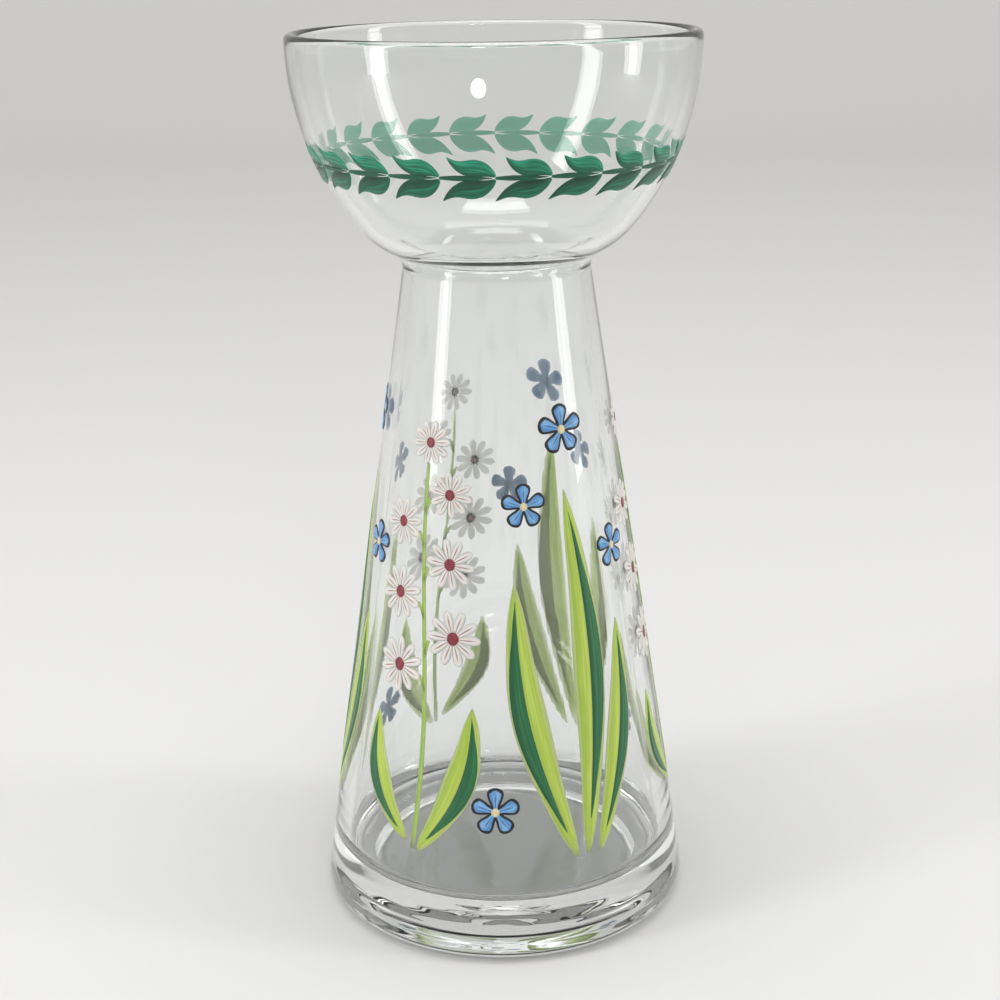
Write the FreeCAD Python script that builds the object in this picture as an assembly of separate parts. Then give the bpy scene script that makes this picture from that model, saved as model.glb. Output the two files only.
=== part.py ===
import FreeCAD, Part
import math
import os

# Hyacinth forcing vase: one blown glass body with raised enamel painted on its outside.
# Millimetres and degrees. The vase stands on Z = 0 with its axis on Z, and its front faces -Y.

# Driving dimensions of the glass
vase_height = 205.0
foot_radius = 44.4
waist_radius = 21.0
ledge_height = 155.2
rim_radius = 45.5
bowl_turn_radius = 20.6
bowl_turn_centre_radius = 14.9
bowl_wall = 2.6
neck_wall = 2.4
foot_wall = 3.8
bottom_thickness = 12.5

# Roundings of the glass
foot_edge_rounding = 4.5
chamber_corner_rounding = 4.5
waist_rounding = 4.0
neck_lip_rounding = 4.5

# Shallow hollow under the bottom, inside the ring that the vase stands on
hollow_radius = 33.0
hollow_depth = 1.4
hollow_flank_radius = 12.0

# In how many spans each arc of the section is drawn
lip_spans = 4
waist_spans = 3
foot_spans = 2
wall_spans = 2

# Enamel: the thickness of one coat, how many flat facets it has round the vase, and the gap between strokes
coat = 0.2
coat_facets = 44
stroke_gap = 0.15

# Garland of leaf pairs round the cup. Its level is a share of the cup's height, and a leaf's length
# is a share of the step from pair to pair.
garland_pairs = 22
garland_level_share = 0.462
upper_leaf_rise = 4.2
lower_leaf_drop = 4.8
upper_leaf_share = 0.84
lower_leaf_share = 0.92
garland_stem_tip_width = 0.7
garland_stem_root_width = 1.1
upper_back_shares = ((0.16, 0.62), (0.40, 0.90), (0.72, 0.76))
upper_belly_shares = ((0.86, 0.52), (0.68, 0.06))
lower_back_shares = ((0.10, 0.52), (0.38, 0.98), (0.76, 0.92))
lower_belly_shares = ((0.84, 0.62), (0.68, 0.10))

# Painted field round the water chamber: daisy sprigs and leaf sprays take turns along it.
# Its foot and height are shares of the ledge's height.
# Half a sprig's width is a share of the foot's radius.
field_foot_share = 0.142
field_height_share = 0.709
sprig_half_width_share = 0.315
sprig_pairs = 3
daisy_sprig_azimuth = -32.0
spray_azimuth = 28.0

# Stem and stalks of a daisy sprig; their heights are shares of the painted field
stem_width = 1.1
stem_sway = 1.5
stem_foot_share = 0.03
stem_points = 7
stalk_width = 0.8
stalk_drop = 5.0
stalk_reach_share = 0.92

# Daisies of one sprig, from the lowest to the one on top.
# The largest one's radius is a share of the sprig's half width.
daisy_radius_share = 0.45
daisy_size_shares = (1.0, 1.0, 0.95, 0.91, 0.86, 0.81, 0.77)
daisy_height_shares = (0.41, 0.485, 0.56, 0.635, 0.705, 0.775, 0.875)
daisy_sides = (-1, 1, -1, 1, -1, 1, 0)
daisy_petal_count = 10
daisy_notch_share = 0.52
daisy_petal_width_share = 0.50
daisy_heart_share = 0.26
heart_corners = 7

# Lance leaves: foot across and height, tip across and height, bow to the right, and half width.
# Heights are shares of the painted field; bow, widths and places across are shares of the sprig's half width.
leaf_half_width_share = 0.30
shade_margin = 0.35
shade_end_shares = (0.10, 0.93)
blade_width_shares = ((0.0, 0.14), (0.2, 0.60), (0.5, 1.0), (0.8, 0.58), (1.0, 0.0))
daisy_sprig_leaf_shares = (
    (-0.12, 0.045, -0.86, 0.300, -0.30, 0.86),
    (0.12, 0.030, 0.90, 0.345, 0.26, 0.90),
)
spray_leaf_shares = (
    (0.0, 0.020, 0.06, 0.780, 0.26, 1.0),
    (-0.20, 0.020, -0.86, 0.600, -0.26, 0.95),
    (0.24, 0.020, 0.94, 0.490, 0.22, 0.88),
)

# Small blue flowers above and between the leaves: across, height and radius
blue_flower_radius_share = 0.40
blue_flower_shares = (
    (0.10, 0.900, 1.0),
    (-0.62, 0.755, 0.90),
    (0.98, 0.640, 0.90),
    (-1.43, 0.130, 1.0),
)
blue_petal_count = 5
blue_notch_share = 0.45
blue_shoulder_share = 0.92
blue_petal_width_share = 0.58
blue_outline_width = 0.55
blue_centre_share = 0.2
centre_corners = 7

garland_height = ledge_height + (vase_height - ledge_height) * garland_level_share
field_foot = ledge_height * field_foot_share
field_height = ledge_height * field_height_share
sprig_half_width = foot_radius * sprig_half_width_share
daisy_radius = sprig_half_width * daisy_radius_share
leaf_half_width = sprig_half_width * leaf_half_width_share
blue_flower_radius = sprig_half_width * blue_flower_radius_share

origin = FreeCAD.Vector(0, 0, 0)
up = FreeCAD.Vector(0, 0, 1)
outward = FreeCAD.Vector(0, -1, 0)


def section_point(radius, height):
    return FreeCAD.Vector(radius, 0, height)


# The glass section: what follows from the driving dimensions

lip_radius = bowl_wall / 2
lip_height = vase_height - lip_radius
taper = (foot_radius - waist_radius) / ledge_height
turn_centre = section_point(bowl_turn_centre_radius, ledge_height + bowl_turn_radius)


def side_arc_radius():
    """The cup's side is one arc, upright at the lip and tangent to the turn below it."""
    across = rim_radius - turn_centre.x
    rise = lip_height - turn_centre.z
    return (across**2 + rise**2 - bowl_turn_radius**2) / (2 * (across - bowl_turn_radius))


side_radius = side_arc_radius()
side_centre = section_point(rim_radius - side_radius, lip_height)
joint_angle = math.atan2(turn_centre.z - side_centre.z, turn_centre.x - side_centre.x)


def cone_radius(height):
    return foot_radius - taper * height


def on_arc(centre, radius, angle):
    return centre + section_point(radius * math.cos(angle), radius * math.sin(angle))


def direction(start, end):
    return math.atan2(end.z - start.z, end.x - start.x)


def arc_run(centre, radius, start_angle, end_angle, spans):
    """An arc of the section, drawn in equal spans."""
    step = (end_angle - start_angle) / spans
    arcs = []
    for n in range(spans):
        angle = start_angle + n * step
        points = [on_arc(centre, radius, angle + part * step) for part in (0, 0.5, 1)]
        arcs.append(Part.Arc(*points).toShape())
    return arcs


def line(start, end):
    return Part.LineSegment(start, end).toShape()


def waist_centre(radius_at_floor, slope, turn, rounding):
    """The centre of the rounding that touches both a leaning wall and the turn of the cup's bottom."""
    offset = radius_at_floor + rounding * math.hypot(1, slope)
    reach = offset - turn_centre.x
    a = 1 + slope**2
    b = -2 * (slope * reach + turn_centre.z)
    c = reach**2 + turn_centre.z**2 - (turn + rounding) ** 2
    height = (-b - math.sqrt(b**2 - 4 * a * c)) / (2 * a)
    return section_point(offset - slope * height, height)


def wall_side(radius_at_floor, slope, corner_height, corner_rounding, grow, waist):
    """One side of the glass, from its lower corner up to the lip, as arcs and lines that run smoothly on."""
    lean = math.atan(slope)
    turn = bowl_turn_radius + grow
    corner_top = corner_height + corner_rounding
    corner_reach = radius_at_floor - slope * corner_top - corner_rounding * math.hypot(1, slope)
    corner = section_point(corner_reach, corner_top)
    neck = waist_centre(radius_at_floor, slope, turn, waist)
    neck_start = on_arc(neck, waist, math.pi + lean)
    return [
        *arc_run(corner, corner_rounding, -math.pi / 2, lean, foot_spans),
        line(on_arc(corner, corner_rounding, lean), neck_start),
        *arc_run(neck, waist, math.pi + lean, direction(neck, turn_centre) % math.tau, waist_spans),
        *arc_run(turn_centre, turn, direction(turn_centre, neck), joint_angle, wall_spans),
        *arc_run(side_centre, side_radius + grow, joint_angle, 0, wall_spans),
    ]


def lowest_point(edges):
    return edges[0].Vertexes[0].Point


def revolve_outline(edges):
    face = Part.Face(Part.Wire(Part.__sortEdges__(edges)))
    return face.revolve(origin, up, 360)


def glass_vase():
    """One closed section, outside up to the lip and back down inside, turned about the axis."""
    outside = wall_side(foot_radius, taper, 0, foot_edge_rounding, 0, waist_rounding)

    chamber_radius = cone_radius(bottom_thickness) - foot_wall
    bore_radius = waist_radius - neck_wall
    inner_taper = (chamber_radius - bore_radius) / (ledge_height - bottom_thickness)
    inside = wall_side(
        chamber_radius + inner_taper * bottom_thickness,
        inner_taper,
        bottom_thickness,
        chamber_corner_rounding,
        -bowl_wall,
        neck_lip_rounding,
    )

    flank_rise = hollow_flank_radius - hollow_depth
    flank_width = math.sqrt(hollow_flank_radius**2 - flank_rise**2)
    flank_centre = section_point(hollow_radius - flank_width, -flank_rise)
    flank_angle = math.atan2(flank_rise, flank_width)
    hollow_edge = section_point(flank_centre.x, hollow_depth)
    hollow_centre = section_point(0, hollow_depth)
    chamber_centre = section_point(0, bottom_thickness)
    lip_centre = section_point(rim_radius - lip_radius, lip_height)

    edges = [
        line(hollow_centre, hollow_edge),
        *arc_run(flank_centre, hollow_flank_radius, math.pi / 2, flank_angle, 1),
        line(section_point(hollow_radius, 0), lowest_point(outside)),
        *outside,
        *arc_run(lip_centre, lip_radius, 0, math.pi, lip_spans),
        *inside,
        line(lowest_point(inside), chamber_centre),
        line(chamber_centre, hollow_centre),
    ]
    return revolve_outline(edges)


# Enamel lies in thin shells of flat facets that touch the glass.
# A stroke is what its outline cuts from a shell.


def facet_ring(radius, height):
    """A many-sided ring whose sides touch the circle of this radius."""
    corner_radius = radius / math.cos(math.pi / coat_facets)
    angles = [2 * math.pi * n / coat_facets for n in range(coat_facets)]
    corners = [FreeCAD.Vector(corner_radius * math.cos(a), corner_radius * math.sin(a), height) for a in angles]
    return Part.makePolygon(corners + corners[:1])


def coat_shell(inside, thickness):
    """One coat of enamel over a wall that is given as pairs of radius and height."""
    core = Part.makeLoft([facet_ring(radius, height) for radius, height in inside], True, True)
    whole = Part.makeLoft([facet_ring(radius + thickness, height) for radius, height in inside], True, True)
    return whole.cut(core)


def chamber_shell(layer):
    """One coat over the cone of the water chamber, on top of as many other coats as layer says."""
    thickness = coat * math.hypot(1, taper)
    low = foot_edge_rounding
    high = ledge_height - waist_rounding
    return coat_shell([(cone_radius(z) + layer * thickness, z) for z in (low, high)], thickness)


def cup_radius(height):
    return side_centre.x + math.sqrt(side_radius**2 - (height - side_centre.z) ** 2)


def cup_shell():
    """One coat over the side of the cup: a band above the garland's stem and a band below it."""
    bulge = side_radius - math.sqrt(side_radius**2 - (lower_leaf_drop / 2) ** 2)
    levels = (garland_height - lower_leaf_drop, garland_height, garland_height + upper_leaf_rise)
    return coat_shell([(cup_radius(z) + bulge, z) for z in levels], coat)


def stroke(face, shell):
    """Pushes a flat outline outwards through the shell, at the front of the vase."""
    return face.extrude(outward * (foot_radius + rim_radius)).common(shell).Solids[0]


def turned(solid, azimuth):
    copy = solid.copy()
    copy.rotate(origin, up, azimuth)
    return copy


def flat_point(across, height):
    return FreeCAD.Vector(across, 0, height)


def smooth_edge(points):
    curve = Part.BSplineCurve()
    curve.interpolate(points)
    return curve.toShape()


def polygon(points):
    return Part.Face(Part.makePolygon(points + points[:1]))


def outline(edges):
    return Part.Face(Part.Wire(edges))


# Garland


def garland_pitch():
    return 2 * math.pi * cup_radius(garland_height) / garland_pairs


def garland_leaf(length, rise, back_shares, belly_shares):
    """A comma stroke: from its root on the stem over a round back to a pointed tip, and back along its belly."""
    gap = math.copysign(stroke_gap / 2, rise)
    root = flat_point(0, garland_height + gap)
    tip = flat_point(-length, garland_height + rise)
    back = [flat_point(-length * x, garland_height + rise * z) for x, z in back_shares]
    belly = [flat_point(-length * x, garland_height + gap + rise * z) for x, z in belly_shares]
    return polygon([root] + back + [tip] + belly)


def garland_stem_piece():
    """A wedge from the root of the pair behind to the fork of this one."""
    fork = -garland_pitch() * lower_leaf_share * lower_belly_shares[-1][0] - stroke_gap
    start = stroke_gap - garland_pitch()
    return polygon(
        [
            flat_point(start, garland_height + garland_stem_tip_width / 2),
            flat_point(start, garland_height - garland_stem_tip_width / 2),
            flat_point(fork, garland_height - garland_stem_root_width / 2),
            flat_point(fork, garland_height + garland_stem_root_width / 2),
        ]
    )


def round_the_cup(face, shell):
    leaf = stroke(face, shell)
    step = 360 / garland_pairs
    return Part.makeCompound([turned(leaf, n * step) for n in range(garland_pairs)])


# Places on the water chamber


def field_level(share):
    return field_foot + field_height * share


def motif_azimuth(across, height):
    """How far a motif turns from its sprig's middle line to stand this far beside it."""
    return math.degrees(math.asin(across / cone_radius(height)))


def round_the_chamber(motifs, sprig_azimuth, shell):
    """Each motif is a flat face and its turn from the sprig's middle line; every second sprig gets them all."""
    step = 360 / sprig_pairs
    solids = []
    for face, turn in motifs:
        motif = stroke(face, shell)
        solids += [turned(motif, sprig_azimuth + n * step + turn) for n in range(sprig_pairs)]
    return solids


# Blossoms


def petal_ring(count, notch, end, turn, height):
    """A closed outline with one petal per step: a notch, then the corners of the petal's end."""
    step = 2 * math.pi / count
    points = []
    for n in range(count):
        middle = turn + n * step
        corners = [(middle - step / 2, notch)] + [(middle + angle, reach) for angle, reach in end]
        points += [flat_point(reach * math.sin(a), height + reach * math.cos(a)) for a, reach in corners]
    return polygon(points)


def many_sided(radius, corners, height):
    angles = [2 * math.pi * n / corners for n in range(corners)]
    return polygon([flat_point(radius * math.sin(a), height + radius * math.cos(a)) for a in angles])


def daisy_petals(radius, height, stalk_angle):
    """Blunt petals; the notch between two of them takes in the stalk's end."""
    half_step = math.pi / daisy_petal_count
    half_petal = half_step * daisy_petal_width_share
    end = ((-half_petal, radius), (half_petal, radius))
    return petal_ring(daisy_petal_count, radius * daisy_notch_share, end, stalk_angle + half_step, height)


def blue_petals(radius, height, margin):
    """Rounded petals, drawn in from the flower's outline by the margin."""
    half_petal = math.pi / blue_petal_count * blue_petal_width_share
    shoulder = radius * blue_shoulder_share - margin
    end = ((-half_petal, shoulder), (0, radius - margin), (half_petal, shoulder))
    return petal_ring(blue_petal_count, radius * blue_notch_share - margin / 2, end, 0, height)


# Stem and stalks of a daisy sprig


def stem_place(height):
    """The middle of the stem at this height, swaying once to each side."""
    share = (height - field_foot) / field_height
    return flat_point(stem_sway * math.sin(2 * math.pi * share), height)


def daisy_places():
    """For each daisy of a sprig: its radius, its centre, and the point of the stem where its stalk starts."""
    places = []
    for size, level, side in zip(daisy_size_shares, daisy_height_shares, daisy_sides):
        radius = daisy_radius * size
        height = field_level(level)
        start = stem_place(height - stalk_drop)
        beside = side * (radius + stem_width / 2 + 2 * stroke_gap)
        centre = flat_point(stem_place(height).x + beside, height)
        places.append((radius, centre, start))
    return places


def stalk(radius, centre, start):
    """A short stroke from the stem into the notch between two petals."""
    along = (start - centre).normalize()
    side = flat_point(along.z, -along.x) * (stalk_width / 2)
    end = centre + along * (radius * stalk_reach_share)
    return polygon([start - side, start + side, end + side, end - side])


def stem_and_stalks():
    radius, top, _ = daisy_places()[-1]
    foot_height = field_level(stem_foot_share)
    stem_height = top.z - radius * stalk_reach_share - foot_height
    middle = [stem_place(foot_height + stem_height * n / (stem_points - 1)) for n in range(stem_points)]
    half = flat_point(stem_width / 2, 0)
    left = [point - half for point in middle]
    right = [point + half for point in middle]
    stem = outline(
        [smooth_edge(left), line(left[-1], right[-1]), smooth_edge(right[::-1]), line(right[0], left[0])]
    )
    stalks = [stalk(*place) for place in daisy_places()[:-1]]
    return stem.fuse(stalks).removeSplitter().Faces[0]


def daisy_motifs():
    """The daisies of a sprig and their hearts, each drawn on the middle line and turned to its place."""
    petals = []
    hearts = []
    for radius, centre, start in daisy_places():
        turn = motif_azimuth(centre.x, centre.z)
        stalk_angle = math.atan2(start.x - centre.x, start.z - centre.z)
        petals.append((daisy_petals(radius, centre.z, stalk_angle), turn))
        hearts.append((many_sided(radius * daisy_heart_share, heart_corners, centre.z), turn))
    return petals, hearts


# Leaves


def leaf_rib(foot, tip, bow, share):
    """A point on a leaf's rib, which bows to one side between foot and tip, and the way across it there."""
    along = tip - foot
    side = flat_point(along.z, -along.x).normalize()
    point = foot + along * share + side * (bow * math.sin(math.pi * share))
    heading = along + side * (bow * math.pi * math.cos(math.pi * share))
    return point, flat_point(heading.z, -heading.x).normalize()


def leaf_edge(foot, tip, bow, side_width, margin):
    """The points of one edge of a leaf, side_width from its rib at the widest place."""
    points = []
    for share, width_share in blade_width_shares:
        point, across = leaf_rib(foot, tip, bow, share)
        inset = math.copysign(margin, side_width)
        points.append(point + across * (side_width * width_share - inset))
    return points


def leaf_blade(foot, tip, bow, half_width):
    left = leaf_edge(foot, tip, bow, -half_width, 0)
    right = leaf_edge(foot, tip, bow, half_width, 0)
    return outline([smooth_edge(left), smooth_edge(right[::-1]), line(right[0], left[0])])


def leaf_shade(foot, tip, bow, half_width):
    """The darker second stroke, between the rib and the outer edge of the blade."""
    shaded = math.copysign(half_width, bow)
    start, end = [leaf_rib(foot, tip, bow, share)[0] for share in shade_end_shares]
    rib = [leaf_rib(foot, tip, bow, share)[0] for share, _ in blade_width_shares[1:-1]]
    edge = leaf_edge(foot, tip, bow, shaded, shade_margin)[1:-1]
    return outline([smooth_edge([start] + rib + [end]), smooth_edge([end] + edge[::-1] + [start])])


def leaf_motifs(leaf_shares):
    blades = []
    shades = []
    for foot_across, foot_level, tip_across, tip_level, bow, width in leaf_shares:
        foot = flat_point(sprig_half_width * foot_across, field_level(foot_level))
        tip = flat_point(sprig_half_width * tip_across, field_level(tip_level))
        size = (foot, tip, sprig_half_width * bow, leaf_half_width * width)
        blades.append((leaf_blade(*size), 0))
        shades.append((leaf_shade(*size), 0))
    return blades, shades


# Blue flowers


def blue_motifs():
    """Under-stroke, petals and centre of each small blue flower, one coat above the other."""
    outlines = []
    petals = []
    centres = []
    for across, level, size in blue_flower_shares:
        height = field_level(level)
        turn = motif_azimuth(sprig_half_width * across, height)
        radius = blue_flower_radius * size
        outlines.append((blue_petals(radius, height, 0), turn))
        petals.append((blue_petals(radius, height, blue_outline_width), turn))
        centres.append((many_sided(radius * blue_centre_share, centre_corners, height), turn))
    return outlines, petals, centres


def export(name, shape):
    shape.exportStep(os.path.join("parts", name + ".step"))
    print(name, len(shape.Solids), "solids", round(shape.Volume, 1), "mm3", shape.isValid())


def export_strokes(name, solids):
    export(name, Part.makeCompound(solids))


os.makedirs("parts", exist_ok=True)

export("glass_vase", glass_vase())

cup_coat = cup_shell()
upper_leaf_length = garland_pitch() * upper_leaf_share
lower_leaf_length = garland_pitch() * lower_leaf_share
upper_leaf = garland_leaf(upper_leaf_length, upper_leaf_rise, upper_back_shares, upper_belly_shares)
lower_leaf = garland_leaf(lower_leaf_length, -lower_leaf_drop, lower_back_shares, lower_belly_shares)
export("garland_stem", round_the_cup(garland_stem_piece(), cup_coat))
export("garland_upper_leaves", round_the_cup(upper_leaf, cup_coat))
export("garland_lower_leaves", round_the_cup(lower_leaf, cup_coat))

first_coat = chamber_shell(0)
second_coat = chamber_shell(1)
third_coat = chamber_shell(2)

export_strokes("sprig_stems", round_the_chamber([(stem_and_stalks(), 0)], daisy_sprig_azimuth, first_coat))

daisy_leaf_blades, daisy_leaf_shades = leaf_motifs(daisy_sprig_leaf_shares)
spray_blades, spray_shades = leaf_motifs(spray_leaf_shares)
blades = round_the_chamber(daisy_leaf_blades, daisy_sprig_azimuth, first_coat)
blades += round_the_chamber(spray_blades, spray_azimuth, first_coat)
shades = round_the_chamber(daisy_leaf_shades, daisy_sprig_azimuth, second_coat)
shades += round_the_chamber(spray_shades, spray_azimuth, second_coat)
export_strokes("leaf_blades", blades)
export_strokes("leaf_shades", shades)

petals, hearts = daisy_motifs()
export_strokes("daisy_petals", round_the_chamber(petals, daisy_sprig_azimuth, first_coat))
export_strokes("daisy_hearts", round_the_chamber(hearts, daisy_sprig_azimuth, second_coat))

blue_outlines, blue_fills, blue_centres = blue_motifs()
export_strokes("blue_flower_outlines", round_the_chamber(blue_outlines, spray_azimuth, first_coat))
export_strokes("blue_flower_petals", round_the_chamber(blue_fills, spray_azimuth, second_coat))
export_strokes("blue_flower_centres", round_the_chamber(blue_centres, spray_azimuth, third_coat))
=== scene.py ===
# %% [markdown]
# # A painted hyacinth vase
# A forcing vase is one clear glass: a cup for the bulb, a narrow waist, and a cone that holds the water.
# Leaves and small flowers are brushed on its outside in thick enamel and fired.
# The measured model is loaded first. It is the frame that every piece in this lesson is fitted to.

# %% Load the frame
import math
import bmesh
import bpy
from mathutils import Matrix, Vector


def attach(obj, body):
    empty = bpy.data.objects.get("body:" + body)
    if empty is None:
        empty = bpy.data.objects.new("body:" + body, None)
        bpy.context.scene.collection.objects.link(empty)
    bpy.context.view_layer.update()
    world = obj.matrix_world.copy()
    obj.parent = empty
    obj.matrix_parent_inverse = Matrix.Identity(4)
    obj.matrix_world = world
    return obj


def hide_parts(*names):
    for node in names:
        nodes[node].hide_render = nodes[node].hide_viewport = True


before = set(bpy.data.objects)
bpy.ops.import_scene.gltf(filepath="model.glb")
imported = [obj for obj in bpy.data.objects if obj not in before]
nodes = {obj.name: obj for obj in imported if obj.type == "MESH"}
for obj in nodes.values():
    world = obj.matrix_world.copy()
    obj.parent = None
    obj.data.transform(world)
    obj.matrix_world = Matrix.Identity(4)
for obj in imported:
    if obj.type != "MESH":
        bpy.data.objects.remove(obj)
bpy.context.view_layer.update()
print("nodes", sorted(nodes))

MM = 0.001

# %% [markdown]
# ## The camera
# The photograph was taken from a little above the rim, looking down by about eighteen degrees.
# The lens and the place were worked out from the widths of the rim, the waist and the foot.
# The picture leans by less than one degree, so the camera is rolled by as much.

# %% Camera
camera = bpy.data.objects.new("camera", bpy.data.cameras.new("camera"))
bpy.context.scene.collection.objects.link(camera)
camera.data.lens = 64.37
camera.data.sensor_width = 36.0
camera.data.clip_start = 0.01
camera_distance = 400.9 * MM
camera_height = 225.8 * MM
camera_pitch = math.radians(17.72)
camera_roll = math.radians(-0.8)
camera.matrix_world = (
    Matrix.Translation((0.0, -camera_distance, camera_height))
    @ Matrix.Rotation(math.radians(90) - camera_pitch, 4, "X")
    @ Matrix.Rotation(camera_roll, 4, "Z")
)
bpy.context.scene.camera = camera
print("camera looks down by", round(math.degrees(camera_pitch), 1), "degrees")

# %% [markdown]
# ## Helpers for modelling with operators
# An operator acts on everything that is selected, so each helper starts with nothing selected.
# Faces and edges are picked in code, by their place, as a hand would click on them.

# %% Helpers
def deselect_all():
    if bpy.context.mode != "OBJECT":
        bpy.ops.object.mode_set(mode="OBJECT")
    bpy.ops.object.select_all(action="DESELECT")


def pick(*pieces):
    """Selects these pieces and makes the last one active."""
    deselect_all()
    for piece in pieces:
        piece.select_set(True)
    bpy.context.view_layer.objects.active = pieces[-1]


def settle(piece):
    """Moves the piece's place, turn and size into its mesh."""
    pick(piece)
    bpy.ops.object.transform_apply(location=True, rotation=True, scale=True)


def apply_modifiers(piece):
    pick(piece)
    for modifier in list(piece.modifiers):
        bpy.ops.object.modifier_apply(modifier=modifier.name)


def join(name, pieces):
    pick(*pieces)
    if len(pieces) > 1:
        bpy.ops.object.join()
    joined = bpy.context.view_layer.objects.active
    joined.name = name
    joined.data.name = name
    return joined


def copy_turned(piece, azimuth):
    """A copy with its own mesh, turned about the vase's axis."""
    copy = piece.copy()
    copy.data = piece.data.copy()
    bpy.context.scene.collection.objects.link(copy)
    copy.matrix_world = Matrix.Rotation(math.radians(azimuth), 4, "Z")
    settle(copy)
    return copy


print("helpers ready")

# %% [markdown]
# ## The section of the glass
# Blown glass that is turned in a mould is round, so one line tells its whole shape: the section.
# It is drawn like this by hand: one point is extruded along the straight walls and spun along each arc.
# The sizes are the measured ones, so the finished glass fills the same box as the frame's own vase.

# %% Sizes of the glass, in millimetres
vase_height = 205.0
foot_radius = 44.4
waist_radius = 21.0
ledge_height = 155.2
rim_radius = 45.5
turn_radius = 20.6
bowl_wall = 2.6
neck_wall = 2.4
foot_wall = 3.8
bottom_thickness = 12.5
foot_rounding = 4.5
chamber_rounding = 4.5
waist_rounding = 4.0
neck_rounding = 4.5
hollow_radius = 33.0
hollow_depth = 1.4
flank_radius = 12.0
lip_radius = bowl_wall / 2
lip_height = vase_height - lip_radius
taper = (foot_radius - waist_radius) / ledge_height
turn_centre = (14.9, ledge_height + turn_radius)
across = rim_radius - turn_centre[0]
rise = lip_height - turn_centre[1]
side_radius = (across**2 + rise**2 - turn_radius**2) / (2 * (across - turn_radius))
side_centre = (rim_radius - side_radius, lip_height)
joint_angle = math.atan2(turn_centre[1] - side_centre[1], turn_centre[0] - side_centre[0])
print("the cup's side is an arc of", round(side_radius, 1), "mm")

# %% [markdown]
# ## A pen for the section
# Blender has no pen for a tangent line, so a few helpers make one: a start point, a straight step
# and an arc.
# Where two walls meet in a rounding, its centre is worked out first, so that every arc runs on smoothly.

# %% Helpers for the section
def section_place(radius, height):
    return Vector((radius * MM, 0.0, height * MM))


def arc_place(centre, radius, angle):
    return (centre[0] + radius * math.cos(angle), centre[1] + radius * math.sin(angle))


def neck_centre(radius_at_floor, slope, turn, rounding):
    """The centre of the rounding that touches both the leaning wall and the cup's turn."""
    offset = radius_at_floor + rounding * math.hypot(1, slope)
    reach = offset - turn_centre[0]
    a = 1 + slope**2
    b = -2 * (slope * reach + turn_centre[1])
    c = reach**2 + turn_centre[1] ** 2 - (turn + rounding) ** 2
    height = (-b - math.sqrt(b**2 - 4 * a * c)) / (2 * a)
    return (offset - slope * height, height)


def start_section(radius, height):
    """A plane is added and all but one of its corners are deleted: the pen's first point."""
    deselect_all()
    bpy.ops.mesh.primitive_plane_add(size=MM, location=section_place(radius, height))
    section = bpy.context.object
    settle(section)
    pick(section)
    bpy.ops.object.mode_set(mode="EDIT")
    bpy.ops.mesh.merge(type="CENTER")
    return section


def line_to(radius, height):
    """Extrudes the pen's last point to the next place on the section."""
    mesh = bpy.context.object
    mesh.update_from_editmode()
    last = next(vertex for vertex in mesh.data.vertices if vertex.select)
    step = section_place(radius, height) - last.co
    bpy.ops.mesh.extrude_region_move(TRANSFORM_OT_translate={"value": step})


def arc_to(centre, start_angle, end_angle, steps):
    """Spins the pen's last point about the centre of an arc."""
    bpy.ops.mesh.spin(
        steps=steps,
        angle=end_angle - start_angle,
        center=section_place(*centre),
        axis=(0.0, 1.0, 0.0),
    )


def wall_side(radius_at_floor, slope, corner_height, corner_rounding, grow, rounding):
    """Angles and centres of one side of the glass, from its lower corner up to the lip."""
    lean = math.atan(slope)
    turn = turn_radius + grow
    top = corner_height + corner_rounding
    reach = radius_at_floor - slope * top - corner_rounding * math.hypot(1, slope)
    neck = neck_centre(radius_at_floor, slope, turn, rounding)
    up_turn = math.atan2(turn_centre[1] - neck[1], turn_centre[0] - neck[0]) % math.tau
    return {
        "lean": lean,
        "corner": (reach, top),
        "neck": neck,
        "neck_start": arc_place(neck, rounding, math.pi + lean),
        "neck_end_angle": up_turn,
        "turn_start_angle": up_turn - math.pi,
    }


chamber_radius = foot_radius - taper * bottom_thickness - foot_wall
inner_taper = (chamber_radius - (waist_radius - neck_wall)) / (ledge_height - bottom_thickness)
inner_radius_at_floor = chamber_radius + inner_taper * bottom_thickness
outer = wall_side(foot_radius, taper, 0, foot_rounding, 0, waist_rounding)
inner = wall_side(
    inner_radius_at_floor, inner_taper, bottom_thickness, chamber_rounding, -bowl_wall, neck_rounding
)
print("outer waist at", [round(v, 1) for v in outer["neck_start"]], "mm")

# %% [markdown]
# ## Drawing and spinning the glass
# The pen starts in the middle of the hollow under the bottom and goes round the outside,
# over the lip and down inside.
# Then the whole line is spun about the upright axis in 192 steps, fine enough for clean refraction.
# The doubled points at the seam and the poles are merged before the normals are made to point outwards.

# %% Spin the glass
flank_rise = flank_radius - hollow_depth
flank_width = math.sqrt(flank_radius**2 - flank_rise**2)
flank_centre = (hollow_radius - flank_width, -flank_rise)
lip_centre = (rim_radius - lip_radius, lip_height)
quarter = math.pi / 2
turning_steps = 192

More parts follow.
